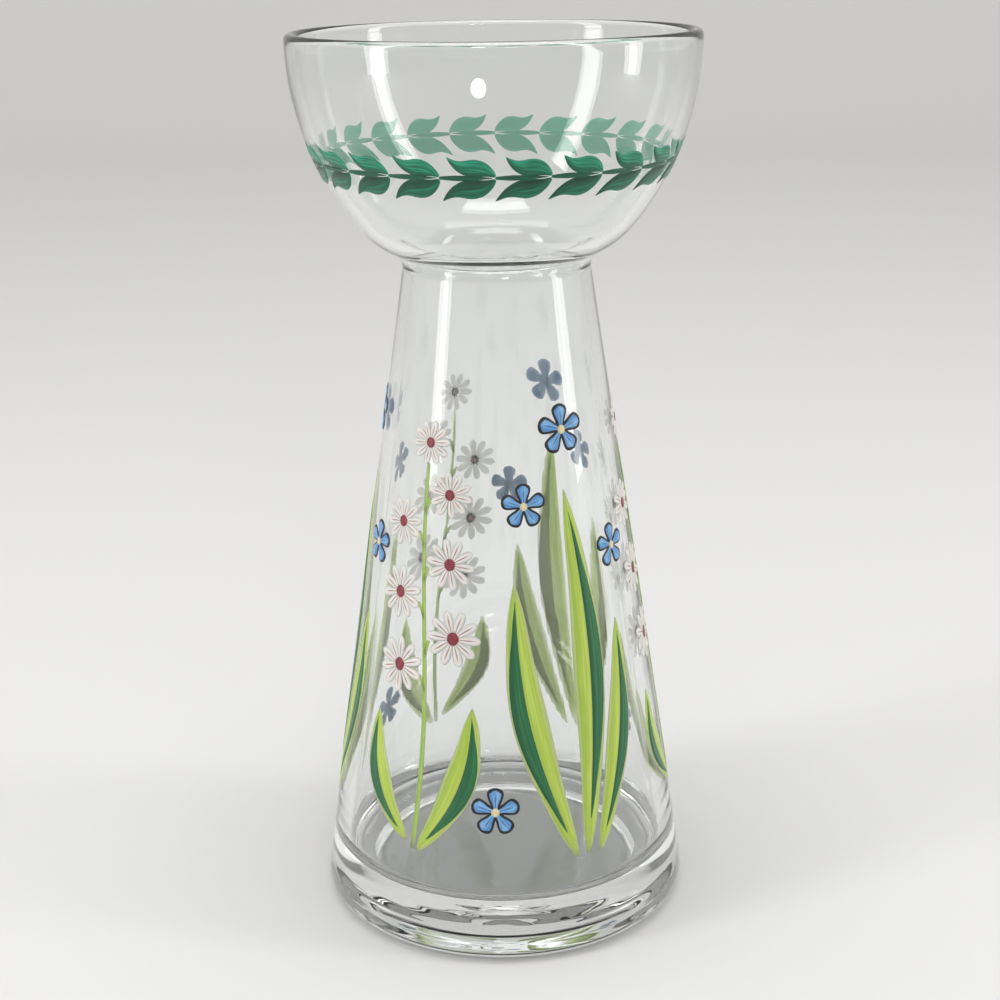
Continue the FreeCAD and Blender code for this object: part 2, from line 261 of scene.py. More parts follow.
glass = start_section(0.0, hollow_depth)
line_to(flank_centre[0], hollow_depth)
arc_to(flank_centre, quarter, math.atan2(flank_rise, flank_width), 8)
line_to(outer["corner"][0], 0.0)
arc_to(outer["corner"], -quarter, outer["lean"], 14)
line_to(*outer["neck_start"])
arc_to(outer["neck"], math.pi + outer["lean"], outer["neck_end_angle"], 12)
arc_to(turn_centre, outer["turn_start_angle"], joint_angle, 12)
arc_to(side_centre, joint_angle, 0, 28)
arc_to(lip_centre, 0, math.pi, 16)
arc_to(side_centre, 0, joint_angle, 28)
arc_to(turn_centre, joint_angle, inner["turn_start_angle"], 12)
arc_to(inner["neck"], inner["neck_end_angle"], math.pi + inner["lean"], 12)
line_to(*arc_place(inner["corner"], chamber_rounding, inner["lean"]))
arc_to(inner["corner"], inner["lean"], -quarter, 14)
line_to(0.0, bottom_thickness)
bpy.ops.mesh.select_all(action="SELECT")
bpy.ops.mesh.spin(steps=turning_steps, angle=math.tau, center=(0.0, 0.0, 0.0), axis=(0.0, 0.0, 1.0))
bpy.ops.mesh.select_all(action="SELECT")
bpy.ops.mesh.remove_doubles(threshold=0.00001)
bpy.ops.mesh.normals_make_consistent(inside=False)
bpy.ops.object.mode_set(mode="OBJECT")
bpy.ops.object.shade_smooth()
glass.name = glass.data.name = "glass_body"
glass_size = [round(side / MM, 2) for side in glass.dimensions]
print("glass", len(glass.data.polygons), "faces,", glass_size, "mm")

# %% [markdown]
# ## The floor
# The vase stands on a plain pale floor that sweeps up behind it, so no horizon cuts through the glass.
# It is one plane: its far edge is extruded upwards, and the fold is bevelled into a wide curve.

# %% The floor
floor_size = 4.0
sweep_height = 2.5
sweep_radius = 0.9
deselect_all()
bpy.ops.mesh.primitive_plane_add(size=floor_size, location=(0.0, 0.4, 0.0))
floor = bpy.context.object
floor.name = floor.data.name = "floor"
settle(floor)
pick(floor)
bpy.ops.object.mode_set(mode="EDIT")
bpy.ops.mesh.select_all(action="DESELECT")
bpy.ops.object.mode_set(mode="OBJECT")
for edge in floor.data.edges:
    edge.select = all(floor.data.vertices[v].co.y > floor_size / 2 for v in edge.vertices)
bpy.ops.object.mode_set(mode="EDIT")
bpy.ops.mesh.extrude_region_move(TRANSFORM_OT_translate={"value": (0.0, 0.0, sweep_height)})
bpy.ops.mesh.select_all(action="SELECT")
bpy.ops.mesh.bevel(offset=sweep_radius, segments=24, affect="EDGES")
bpy.ops.object.mode_set(mode="OBJECT")
bpy.ops.object.shade_smooth()


def plain_material(name, colour, roughness):
    material = bpy.data.materials.new(name)
    material.use_nodes = True
    shader = material.node_tree.nodes["Principled BSDF"]
    shader.inputs["Base Color"].default_value = (*colour, 1.0)
    shader.inputs["Roughness"].default_value = roughness
    return material


floor.data.materials.append(plain_material("pale_floor", (0.68, 0.675, 0.67), 0.75))
print("floor", len(floor.data.polygons), "faces")

# %% [markdown]
# ## The light
# Tall soft lamps at the sides draw the long upright gleams that tell the eye that this is glass.
# A small round lamp in front leaves one spot on the cup, as in the photograph.
# The pale sky gives most of the light: it reaches through the glass to the back of the paint,
# where no lamp does.

# %% The lamps and the sky
def soft_lamp(name, place, aim, width, height, power, shape="RECTANGLE"):
    data = bpy.data.lights.new(name, "AREA")
    data.shape = shape
    data.size = width
    data.size_y = height
    data.energy = power
    lamp = bpy.data.objects.new(name, data)
    bpy.context.scene.collection.objects.link(lamp)
    lamp.location = place
    lamp.rotation_euler = (Vector(aim) - Vector(place)).to_track_quat("-Z", "Y").to_euler()


middle = (0.0, 0.0, 0.11)
soft_lamp("lamp_left", (-0.75, -0.35, 0.45), middle, 0.19, 1.00, 3.2)
soft_lamp("lamp_right", (0.80, -0.15, 0.40), middle, 0.14, 1.00, 2.4)
soft_lamp("lamp_top", (0.0, -0.10, 1.20), middle, 0.60, 0.40, 3.0)
soft_lamp("lamp_front", (0.25, -1.30, 0.75), middle, 0.24, 0.20, 1.5, "ELLIPSE")

world = bpy.data.worlds.new("studio")
bpy.context.scene.world = world
world.use_nodes = True
background = world.node_tree.nodes["Background"]
background.inputs["Color"].default_value = (0.86, 0.86, 0.85, 1.0)
background.inputs["Strength"].default_value = 1.0
bpy.context.scene.view_settings.view_transform = "Standard"

# %% [markdown]
# ## Clear glass
# Glass comes from the shader's transmission, not from alpha: light goes in, bends by the index of 1.5
# and comes out again. Soda glass is very slightly grey-green, and faint waves in its skin make the
# gleams wander. The thick bottom also shows rings, so a second pattern of ripples is added low down.

# %% Glass material
def glass_waves(material):
    """Faint waves all over, and rings of ripples in the thick bottom, on object coordinates."""
    tree = material.node_tree
    add = tree.nodes.new
    link = tree.links.new
    place = add("ShaderNodeTexCoord").outputs["Object"]
    waves = add("ShaderNodeTexNoise")
    waves.inputs["Scale"].default_value = 30.0
    waves.inputs["Detail"].default_value = 1.0
    link(place, waves.inputs["Vector"])

    # Rings: a coordinate that grows with height and shrinks with the distance from the axis
    flatten = add("ShaderNodeVectorMath")
    flatten.operation = "MULTIPLY"
    flatten.inputs[1].default_value = (1.0, 1.0, 0.0)
    radius = add("ShaderNodeVectorMath")
    radius.operation = "LENGTH"
    split = add("ShaderNodeSeparateXYZ")
    ring_place = add("ShaderNodeMath")
    ring_place.operation = "SUBTRACT"
    swirl = add("ShaderNodeVectorMath")
    swirl.operation = "MULTIPLY"
    swirl.inputs[1].default_value = (0.10, 0.10, 0.0)
    bands = add("ShaderNodeCombineXYZ")
    ring_vector = add("ShaderNodeVectorMath")
    rings = add("ShaderNodeTexNoise")
    rings.inputs["Scale"].default_value = 190.0
    rings.inputs["Detail"].default_value = 1.0
    link(place, flatten.inputs[0])
    link(flatten.outputs["Vector"], radius.inputs[0])
    link(place, split.inputs["Vector"])
    link(split.outputs["Z"], ring_place.inputs[0])
    link(radius.outputs["Value"], ring_place.inputs[1])
    link(ring_place.outputs["Value"], bands.inputs["Z"])
    link(place, swirl.inputs[0])
    link(bands.outputs["Vector"], ring_vector.inputs[0])
    link(swirl.outputs["Vector"], ring_vector.inputs[1])
    link(ring_vector.outputs["Vector"], rings.inputs["Vector"])

    # The rings fade out above the bottom, and both heights go into one bump
    lowness = add("ShaderNodeMapRange")
    lowness.inputs["From Min"].default_value = 0.034
    lowness.inputs["From Max"].default_value = 0.018
    low_rings = add("ShaderNodeMath")
    low_rings.operation = "MULTIPLY"
    height = add("ShaderNodeMath")
    height.operation = "MULTIPLY_ADD"
    height.inputs[1].default_value = 0.9
    bump = add("ShaderNodeBump")
    bump.inputs["Strength"].default_value = 0.25
    bump.inputs["Distance"].default_value = 0.0006
    link(split.outputs["Z"], lowness.inputs["Value"])
    link(rings.outputs["Fac"], low_rings.inputs[0])
    link(lowness.outputs["Result"], low_rings.inputs[1])
    link(low_rings.outputs["Value"], height.inputs[0])
    link(waves.outputs["Fac"], height.inputs[2])
    link(height.outputs["Value"], bump.inputs["Height"])
    link(bump.outputs["Normal"], tree.nodes["Principled BSDF"].inputs["Normal"])


clear_glass = plain_material("clear_glass", (0.965, 0.976, 0.969), 0.0)
glass_shader = clear_glass.node_tree.nodes["Principled BSDF"]
glass_shader.inputs["Transmission Weight"].default_value = 1.0
glass_shader.inputs["IOR"].default_value = 1.5
glass_waves(clear_glass)
glass.data.materials.clear()
glass.data.materials.append(clear_glass)
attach(glass, "root")
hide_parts("glass_vase")
print("glass material on", glass.name)


# %% [markdown]
# ## A brush stroke
# A loaded brush leaves a thick mark: round where it lands and pointed where it lifts,
# with the paint pushed to the edges.
# Each stroke starts as a small grid on a flat sheet, 60 mm in front of the vase's axis.
# Its rows are moved, turned and narrowed one by one, and a subdivision rounds the outline.
# How thick the paint lies is kept as weights: thin at the rim, thick beside it.

# %% Shape one stroke
sheet = -60.0
thin_rim = 0.04
thickness_across = (thin_rim, 0.95, 0.75, 0.95, thin_rim)
columns = len(thickness_across)


def heading(rows, n):
    """The way the stroke runs at a row, as a turn from straight up."""
    before, after = rows[max(n - 1, 0)], rows[min(n + 1, len(rows) - 1)]
    return math.atan2(before[0] - after[0], after[1] - before[1])


def select_row(stroke, n):
    edited = bmesh.from_edit_mesh(stroke.data)
    for vertex in edited.verts:
        vertex.select_set(vertex.index // columns == n)
    edited.select_flush_mode()
    bmesh.update_edit_mesh(stroke.data)


def brush_stroke(name, rows):
    """Rows run from landing to lift: place across, height and half width, in millimetres."""
    deselect_all()
    last = len(rows) - 1
    bpy.ops.mesh.primitive_grid_add(
        x_subdivisions=columns - 1,
        y_subdivisions=last,
        size=2 * MM,
        location=(0.0, sheet * MM, 0.0),
        rotation=(math.radians(90), 0.0, 0.0),
    )
    stroke = bpy.context.object
    stroke.name = stroke.data.name = name
    settle(stroke)
    thickness = stroke.vertex_groups.new(name="thickness")
    for vertex in stroke.data.vertices:
        n, column = divmod(vertex.index, columns)
        share = thin_rim if n in (0, last) else 1.0
        thickness.add([vertex.index], thickness_across[column] * share, "REPLACE")
    pick(stroke)
    bpy.ops.object.mode_set(mode="EDIT")
    for n, (across, height, half_width) in enumerate(rows):
        place = Vector((across * MM, sheet * MM, height * MM))
        start = Vector((0.0, sheet * MM, (2 * n / last - 1) * MM))
        select_row(stroke, n)
        bpy.ops.transform.translate(value=place - start)
        bpy.ops.transform.rotate(value=heading(rows, n), orient_axis="Y", center_override=place)
        bpy.ops.transform.resize(value=(half_width, half_width, half_width), center_override=place)
    bpy.ops.object.mode_set(mode="OBJECT")
    return stroke


def moved_copy(piece, across, height, size=1.0, turn=0.0):
    """A flat copy with its own mesh: resized and turned about the sheet's middle, then moved."""
    copy = piece.copy()
    copy.data = piece.data.copy()
    bpy.context.scene.collection.objects.link(copy)
    back = Matrix.Translation((0.0, sheet * MM, 0.0))
    spin = Matrix.Rotation(turn, 4, "Y") @ Matrix.Scale(size, 4)
    copy.matrix_world = Matrix.Translation((across * MM, 0.0, height * MM)) @ back @ spin @ back.inverted()
    settle(copy)
    return copy


def lay_on_glass(stroke, lift, coat, levels):
    """Subdivides the flat stroke, lays it on the glass and gives the paint its thickness."""
    rounding = stroke.modifiers.new("rounding", "SUBSURF")
    rounding.levels = rounding.render_levels = levels
    laying = stroke.modifiers.new("laying", "SHRINKWRAP")
    laying.target = glass
    laying.wrap_method = "PROJECT"
    laying.wrap_mode = "ABOVE_SURFACE"
    laying.use_project_y = True
    laying.offset = lift * MM
    filling = stroke.modifiers.new("filling", "SOLIDIFY")
    filling.thickness = coat * MM
    filling.offset = 1.0
    filling.vertex_group = "thickness"
    filling.thickness_vertex_group = thin_rim
    apply_modifiers(stroke)
    return stroke


def dab(name, radius):
    """A round touch of the brush's tip."""
    rows = []
    for n in range(7):
        angle = math.pi * n / 6
        rows.append((0.0, -radius * math.cos(angle), radius * max(math.sin(angle), 0.25)))
    return brush_stroke(name, rows)


def turned_copies(name, motifs):
    """Motifs are laid strokes with the turns they stand at; the strokes themselves are cleared away."""
    pieces = [copy_turned(stroke, azimuth) for stroke, azimuths in motifs for azimuth in azimuths]
    for stroke, _ in motifs:
        bpy.data.objects.remove(stroke)
    return join(name, pieces)


first_coat = {"lift": 0.012, "coat": 0.20}
overlapping_coat = {"lift": 0.035, "coat": 0.20}
second_coat = {"lift": 0.12, "coat": 0.20}
third_coat = {"lift": 0.24, "coat": 0.20}
print("brush ready with", columns, "points across")

# %% [markdown]
# ## The garland
# Twenty-two pairs of comma strokes go round the cup: one bright leaf above the stem and one deep leaf
# below it.
# A comma stroke lands at the root, swells over its back and is flicked to a point.
# The stem runs from the root of the pair behind, swells in the fork and thins out between the two leaves.
# One pair is painted at the front and turned round the cup, as a painter would turn the glass on a wheel.

# %% Garland strokes
garland_pairs = 22
garland_height = 178.2
upper_leaf_share = 0.84
upper_leaf_rise = 4.2
lower_leaf_share = 0.92
lower_leaf_drop = 4.8


def side_radius_at(height):
    return side_centre[0] + math.sqrt(side_radius**2 - (height - side_centre[1]) ** 2)


pitch = math.tau * side_radius_at(garland_height) / garland_pairs
comma_shares = (
    (0.00, 0.08, 0.07),
    (0.10, 0.28, 0.22),
    (0.27, 0.46, 0.40),
    (0.46, 0.50, 0.46),
    (0.64, 0.50, 0.38),
    (0.80, 0.62, 0.24),
    (0.92, 0.82, 0.12),
    (1.01, 1.03, 0.02),
)
stem_shares = (
    (0.99, 0.34),
    (0.86, 0.44),
    (0.72, 0.60),
    (0.56, 0.56),
    (0.38, 0.40),
    (0.20, 0.26),
    (0.06, 0.10),
)


def comma(name, length, rise):
    rows = [
        (-length * along, garland_height + rise * up_share, abs(rise) * half_width)
        for along, up_share, half_width in comma_shares
    ]
    return lay_on_glass(brush_stroke(name, rows), **first_coat, levels=2)


upper_comma = comma("upper_comma", upper_leaf_share * pitch, upper_leaf_rise)
lower_comma = comma("lower_comma", lower_leaf_share * pitch, -lower_leaf_drop)
stem_rows = [(-pitch * along, garland_height, half_width) for along, half_width in stem_shares]
stem_stroke = lay_on_glass(brush_stroke("stem_stroke", stem_rows), **first_coat, levels=2)
garland_turns = [n * 360 / garland_pairs for n in range(garland_pairs)]
upper_leaves = turned_copies("painted_upper_leaves", [(upper_comma, garland_turns)])
lower_leaves = turned_copies("painted_lower_leaves", [(lower_comma, garland_turns)])
garland_stem = turned_copies("painted_garland_stem", [(stem_stroke, garland_turns)])
print("garland", len(garland_turns), "pairs,", round(pitch, 2), "mm apart")

# %% [markdown]
# ## Leaves on the water chamber
# Each leaf is two strokes: a broad lime one, and a dark one laid over its outer half,
# so that a line of the first still shows at the edge.
# The leaf's rib bows to one side, and both strokes follow it, so the pair always fits.

# %% Leaf strokes
field_foot = 22.0
field_height = 110.0
sprig_half_width = 14.0
leaf_half_width = 4.2
lime_edge = 0.35
shade_start = 0.08
shade_length = 0.86
leaf_steps = 12
sprig_turns = (-32.0, 88.0, 208.0)
spray_turns = (28.0, 148.0, 268.0)
width_shares = ((0.0, 0.14), (0.2, 0.60), (0.5, 1.0), (0.8, 0.58), (1.0, 0.03))
# A leaf: place across and level of its foot, the same of its tip, its bow, and its share of the width
sprig_leaves = (
    (-0.12, 0.045, -0.86, 0.300, -0.30, 0.86),
    (0.12, 0.030, 0.90, 0.345, 0.26, 0.90),
)
spray_leaves = (
    (0.0, 0.020, 0.06, 0.780, 0.26, 1.0),
    (-0.20, 0.020, -0.86, 0.600, -0.26, 0.95),
    (0.24, 0.020, 0.94, 0.490, 0.22, 0.88),
)


def field_level(share):
    return field_foot + field_height * share


def width_share(share):
    """The leaf's width between the given places, eased so that its edge stays round."""
    for (low, width), (high, next_width) in zip(width_shares, width_shares[1:]):
        if share <= high:
            quarter_turn = math.pi / 2 * (share - low) / (high - low)
            if next_width > width:
                return width + (next_width - width) * math.sin(quarter_turn)
            return next_width + (width - next_width) * math.cos(quarter_turn)
    return 0.0


def leaf_rib(leaf, share):
    """A point on the rib and the way across it, to the side the leaf bows to."""
    foot = Vector((sprig_half_width * leaf[0], field_level(leaf[1])))
    tip = Vector((sprig_half_width * leaf[2], field_level(leaf[3])))
    along = tip - foot
    side = Vector((along.y, -along.x)).normalized()
    bow = sprig_half_width * leaf[4]
    point = foot + along * share + side * bow * math.sin(math.pi * share)
    way = along + side * bow * math.pi * math.cos(math.pi * share)
    return point, Vector((way.y, -way.x)).normalized() * math.copysign(1.0, bow)


def blade_rows(leaf):
    rows = []
    for n in range(leaf_steps + 1):
        share = n / leaf_steps
        point, _ = leaf_rib(leaf, share)
        rows.append((point.x, point.y, leaf_half_width * leaf[5] * width_share(share) + 0.05))
    return rows


def shade_rows(leaf):
    rows = []
    for n in range(leaf_steps + 1):
        share = shade_start + shade_length * n / leaf_steps
        point, across_rib = leaf_rib(leaf, share)
        covered = leaf_half_width * leaf[5] * width_share(share) - lime_edge
        swell = math.sin(math.pi * n / leaf_steps) ** 0.4
        half = max(covered / 2 * swell, 0.06)
        shade_middle = point + across_rib * half
        rows.append((shade_middle.x, shade_middle.y, half))
    return rows


blades = []
shades = []
for leaves, turns in ((sprig_leaves, sprig_turns), (spray_leaves, spray_turns)):
    for leaf in leaves:
        blade = lay_on_glass(brush_stroke("blade", blade_rows(leaf)), **first_coat, levels=2)
        shade = lay_on_glass(brush_stroke("shade", shade_rows(leaf)), **second_coat, levels=2)
        blades.append((blade, turns))
        shades.append((shade, turns))
leaf_blades = turned_copies("painted_leaf_blades", blades)
leaf_shades = turned_copies("painted_leaf_shades", shades)
print("leaves", 3 * len(blades), "blades with", len(leaf_blades.data.polygons), "faces")

# %% [markdown]
# ## Daisies on their stem
# A petal is one short stroke, pressed down at its outer end. It is painted once and copied round the
# heart: first every second petal and then the ones between, a hair higher, so that neighbours overlap
# as wet paint does. A flower is painted flat at a radius of one millimetre and resized as it is laid.

# %% Helpers for the flowers
# A daisy: its radius, its level in the field, and the side of the stem that it hangs on
daisies = (
    (6.3, 0.41, -1),
    (6.3, 0.485, 1),
    (5.99, 0.56, -1),
    (5.73, 0.635, 1),
    (5.42, 0.705, -1),
    (5.1, 0.775, 1),
    (4.85, 0.875, 0),
)
petal_count = 10
petal_shares = (
    (0.08, 0.05),
    (0.28, 0.10),
    (0.50, 0.155),
    (0.70, 0.185),
    (0.86, 0.175),
    (0.96, 0.12),
    (1.02, 0.03),
)
stem_sway = 1.5
stem_gap = 0.85
lean_step = 0.35
heart_share = 0.24


def stem_place(height):
    return stem_sway * math.sin(math.tau * (height - field_foot) / field_height)


def flat_petals(name, shares, count, picked):
    """The picked petals of a flower of one millimetre's radius, round the middle of the sheet."""
    petal = brush_stroke(name, [(0.0, out, half_width) for out, half_width in shares])
    copies = [moved_copy(petal, 0.0, 0.0, 1.0, math.tau * n / count) for n in picked]
    bpy.data.objects.remove(petal)
    return join(name, copies)


def turn_beside(across, height):
    """How far a motif turns from its sprig's middle line to stand this far beside it."""
    return math.degrees(math.asin(across / (foot_radius - taper * height)))


def place_on_sprigs(flat, height, size, across, turns, coat, levels, lean=0.0):
    stroke = lay_on_glass(moved_copy(flat, 0.0, height, size, lean), **coat, levels=levels)
    return stroke, [turn + turn_beside(across, height) for turn in turns]


def stalk_rows(height, side):
    """A stalk leaves the stem 5 mm under its daisy and curves out beneath the petals."""
    start = height - 5.0
    root = stem_place(start)
    reach = stem_place(height) + side * 1.3 - root
    climb = 3.8
    rows = []
    for share in (0.0, 0.3, 0.6, 0.85, 1.0):
        rows.append((root + reach * share**1.4, start + climb * share, 0.46 - 0.08 * share))
    return rows


def stem_rows_up_to(top):
    bottom = field_level(0.03)
    rows = []
    for n in range(17):
        height = bottom + (top - bottom) * n / 16
        rows.append((stem_place(height), height, 0.66 - 0.012 * n))
    return rows


print("daisies to paint", len(daisies), "with", petal_count, "petals")

# %% [markdown]
# ## Painting the sprigs
# The seven daisies of a sprig get smaller towards the top. The topmost ends the swaying stem,
# and a thin stalk ties each of the others to it.
# Each flower is laid on the glass at the front and then turned round the axis to its place,
# so that all three sprigs follow the wall in the same way.

# %% Daisies and stems
first_petals = flat_petals("first_petals", petal_shares, petal_count, range(0, petal_count, 2))
later_petals = flat_petals("later_petals", petal_shares, petal_count, range(1, petal_count, 2))
heart = dab("heart", 1.0)
petals = []
hearts = []
stem_strokes = []
for n, (radius, level, side) in enumerate(daisies):
    height = field_level(level)
    across = stem_place(height) + side * (radius + stem_gap)
    lean = lean_step * n
    for flat, coat in ((first_petals, first_coat), (later_petals, overlapping_coat)):
        petals.append(place_on_sprigs(flat, height, radius, across, sprig_turns, coat, 1, lean))
    hearts.append(place_on_sprigs(heart, height, heart_share * radius, across, sprig_turns, second_coat, 2))
    if side:
        stalk = brush_stroke("stalk", stalk_rows(height, side))
        stem_strokes.append((lay_on_glass(stalk, **overlapping_coat, levels=1), sprig_turns))
top_radius, top_level, _ = daisies[-1]
main_stem = brush_stroke("stem", stem_rows_up_to(field_level(top_level) - 0.92 * top_radius))
stem_strokes.append((lay_on_glass(main_stem, **first_coat, levels=1), sprig_turns))
for flat in (first_petals, later_petals, heart):
    bpy.data.objects.remove(flat)
daisy_petals = turned_copies("painted_daisy_petals", petals)
daisy_hearts = turned_copies("painted_daisy_hearts", hearts)
sprig_stems = turned_copies("painted_sprig_stems", stem_strokes)
print("daisies", 3 * len(daisies), "with", len(daisy_petals.data.polygons), "faces in their petals")

# %% [markdown]
# ## Small blue flowers
# These are three coats: a near-black flower, a smaller blue one that leaves a dark outline,
# and a cream dot.

# %% Blue flowers
# A blue flower: its place across the spray, its level in the field, and its radius
blue_flowers = ((0.10, 0.900, 5.6), (-0.62, 0.755, 5.04), (0.98, 0.640, 5.04), (-1.43, 0.130, 5.6))
centre_share = 0.18
outline_shares = (
    (0.00, 0.10),
    (0.20, 0.17),
    (0.42, 0.25),
    (0.62, 0.33),
    (0.80, 0.36),
    (0.94, 0.27),
    (1.01, 0.08),
)
blue_shares = (
    (0.04, 0.06),
    (0.20, 0.10),
    (0.42, 0.16),
    (0.60, 0.23),
    (0.75, 0.26),
    (0.86, 0.19),
    (0.92, 0.04),
)
dark_flat = flat_petals("dark_petals", outline_shares, 5, range(5))
blue_flat = flat_petals("blue_petals", blue_shares, 5, range(5))
dot_flat = dab("dot", 1.0)
outlines = []
blues = []
dots = []
for across_share, level, radius in blue_flowers:
    height = field_level(level)
    across = sprig_half_width * across_share
    outlines.append(place_on_sprigs(dark_flat, height, radius, across, spray_turns, first_coat, 2))
    blues.append(place_on_sprigs(blue_flat, height, radius, across, spray_turns, second_coat, 2))
    centre_radius = centre_share * radius
    dots.append(place_on_sprigs(dot_flat, height, centre_radius, across, spray_turns, third_coat, 2))
for flat in (dark_flat, blue_flat, dot_flat):
    bpy.data.objects.remove(flat)
flower_outlines = turned_copies("painted_flower_outlines", outlines)
flower_petals = turned_copies("painted_flower_petals", blues)
flower_centres = turned_copies("painted_flower_centres", dots)
print("blue flowers", 3 * len(blue_flowers))

# %% [markdown]
# ## Which side of the paint is seen
# Through the clear glass one looks at the back of the paint, where the first thin layer shows plainer.
# It is also painted paler there: painted light, which stands in for the light that reaches the back
# of the paint through the glass.
# Each face therefore keeps a mark: one where it faces the glass, and nothing where it faces outwards.

# %% Mark the back of the paint
enamel_pieces = {
    "garland_stem": garland_stem,
    "garland_upper_leaves": upper_leaves,
    "garland_lower_leaves": lower_leaves,
    "sprig_stems": sprig_stems,
    "leaf_blades": leaf_blades,
    "leaf_shades": leaf_shades,
    "daisy_petals": daisy_petals,
    "daisy_hearts": daisy_hearts,
    "blue_flower_outlines": flower_outlines,
    "blue_flower_petals": flower_petals,
    "blue_flower_centres": flower_centres,
}
for piece in enamel_pieces.values():
    pick(piece)
    bpy.ops.object.mode_set(mode="EDIT")
    bpy.ops.mesh.select_all(action="SELECT")
    bpy.ops.mesh.normals_make_consistent(inside=False)
    bpy.ops.object.mode_set(mode="OBJECT")
    bpy.ops.object.shade_smooth()
    mark = piece.data.attributes.new("back_of_paint", "FLOAT", "FACE")
    for face in piece.data.polygons:
        outward = Vector((face.center.x, face.center.y, 0.0))
        mark.data[face.index].value = 1.0 if face.normal.dot(outward) < 0 else 0.0
print("faces in all the paint", sum(len(piece.data.polygons) for piece in enamel_pieces.values()))

# %% [markdown]
# ## Enamel
# All the paints share one recipe, kept as a node group: streaks that run with the brush, a light and a
# dark side, a thin drawn line, a rim where the paint has gathered, and a paler back. The light and dark
# sides are partly a brush loaded with two colours and partly a painted highlight and a painted shade.
# The paler back is painted light, standing in for the light that reaches the back of the paint through
# the glass. The streaks read the stroke's own map: one direction goes across the stroke and the
# other runs along it.

# %% The shared brush recipe
def add_socket(group, name, kind, direction, value=None):
    socket = group.interface.new_socket(name=name, in_out=direction, socket_type=kind)
    if value is not None:
        socket.default_value = value


def new_node(tree, kind, **settings):
    node = tree.nodes.new(kind)
    for name, value in settings.items():
        setattr(node, name, value)
    return node


def calculate(tree, operation, first, second, clamp=False):
    """A math node on two values or outputs."""
    node = new_node(tree, "ShaderNodeMath", operation=operation, use_clamp=clamp)
    for socket, value in zip(node.inputs, (first, second)):
        if isinstance(value, (int, float)):
            socket.default_value = value
        else:
            tree.links.new(value, socket)
    return node.outputs["Value"]


def blend(tree, factor, first, second):
    node = new_node(tree, "ShaderNodeMix", data_type="RGBA")
    tree.links.new(factor, node.inputs[0])
    tree.links.new(first, node.inputs[6])
    tree.links.new(second, node.inputs[7])
    return node.outputs[2]


brush = bpy.data.node_groups.new("Brushed Enamel", "ShaderNodeTree")
for name in ("Colour", "Light Side", "Dark Side", "Rim", "Back", "Line"):
    add_socket(brush, name, "NodeSocketColor", "INPUT", (0.5, 0.5, 0.5, 1.0))
add_socket(brush, "Two Tones And Painted Light", "NodeSocketFloat", "INPUT", 0.5)
add_socket(brush, "Streak Strength", "NodeSocketFloat", "INPUT", 0.6)
add_socket(brush, "Line Strength", "NodeSocketFloat", "INPUT", 0.0)
add_socket(brush, "Colour", "NodeSocketColor", "OUTPUT")
add_socket(brush, "Roughness", "NodeSocketFloat", "OUTPUT")
add_socket(brush, "Height", "NodeSocketFloat", "OUTPUT")
given = new_node(brush, "NodeGroupInput").outputs
result = new_node(brush, "NodeGroupOutput").inputs
stroke_map = new_node(brush, "ShaderNodeUVMap", uv_map="UVMap").outputs["UV"]
place = new_node(brush, "ShaderNodeTexCoord").outputs["Object"]
split = new_node(brush, "ShaderNodeSeparateXYZ")
brush.links.new(stroke_map, split.inputs["Vector"])
across_stroke = split.outputs["X"]
along_stroke = split.outputs["Y"]

# Streaks: noise stretched along the stroke, moved from stroke to stroke by a slow noise on the vase
drift = new_node(brush, "ShaderNodeTexNoise")
drift.inputs["Scale"].default_value = 55.0
brush.links.new(place, drift.inputs["Vector"])
stretched = new_node(brush, "ShaderNodeCombineXYZ")
brush.links.new(calculate(brush, "MULTIPLY", across_stroke, 7.0), stretched.inputs["X"])
brush.links.new(calculate(brush, "MULTIPLY", along_stroke, 1.1), stretched.inputs["Y"])
brush.links.new(calculate(brush, "MULTIPLY", drift.outputs["Fac"], 2.0), stretched.inputs["Z"])
hairs = new_node(brush, "ShaderNodeTexNoise")
hairs.inputs["Scale"].default_value = 1.6
hairs.inputs["Detail"].default_value = 3.0
brush.links.new(stretched.outputs["Vector"], hairs.inputs["Vector"])
streaks = calculate(brush, "SUBTRACT", hairs.outputs["Fac"], 0.5)
streaks = calculate(brush, "MULTIPLY", streaks, given["Streak Strength"])

# Two tones: one side of the stroke is lighter, the other darker. This is partly a brush loaded with
# two colours and partly a painted highlight on one side and painted shade on the other
slope = calculate(brush, "SUBTRACT", across_stroke, 0.5)
slope = calculate(brush, "MULTIPLY", slope, given["Two Tones And Painted Light"])
tone = calculate(brush, "ADD", streaks, slope)
lighter = calculate(brush, "MULTIPLY", tone, 2.2, clamp=True)
darker = calculate(brush, "MULTIPLY", tone, -2.2, clamp=True)
colour = blend(brush, lighter, given["Colour"], given["Light Side"])
colour = blend(brush, darker, colour, given["Dark Side"])

# Line: a thin second colour drawn from the landing of the stroke and fading out past its middle
from_middle = calculate(brush, "ABSOLUTE", calculate(brush, "SUBTRACT", across_stroke, 0.5), 0.0)
thin = calculate(brush, "SUBTRACT", 1.0, calculate(brush, "MULTIPLY", from_middle, 9.0), clamp=True)
fading = calculate(brush, "MULTIPLY", calculate(brush, "SUBTRACT", 0.72, along_stroke), 3.5, clamp=True)
drawn = calculate(brush, "MULTIPLY", calculate(brush, "MULTIPLY", thin, fading), given["Line Strength"])
colour = blend(brush, drawn, colour, given["Line"])

